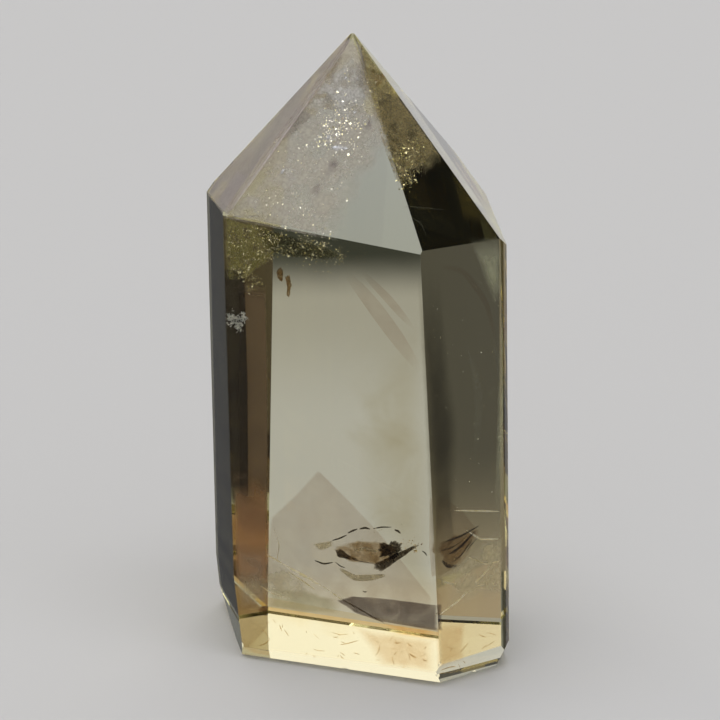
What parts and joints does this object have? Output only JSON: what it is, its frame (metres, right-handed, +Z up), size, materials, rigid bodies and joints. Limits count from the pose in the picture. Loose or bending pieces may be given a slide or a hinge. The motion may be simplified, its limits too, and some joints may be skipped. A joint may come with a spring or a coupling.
{
  "type": "citrine crystal point",
  "caption": "Polished natural citrine tower: a clear pale smoky-yellow quartz prism with a faceted point, sawn flat at the foot to stand upright",
  "frame": {"origin": "centre of the base, on the surface the crystal stands on", "axes": "+Z up along the crystal towards its point, the broad front prism face towards -Y"},
  "size_m": [0.0422, 0.0294, 0.0797],
  "materials": {
    "citrine_quartz": "clear quartz, pale smoky olive-yellow, hand polished, with flakes, veils and a healed fracture inside"
  },
  "bodies": {
    "root": {"citrine_point": "citrine_quartz"}
  },
  "joints": []
}
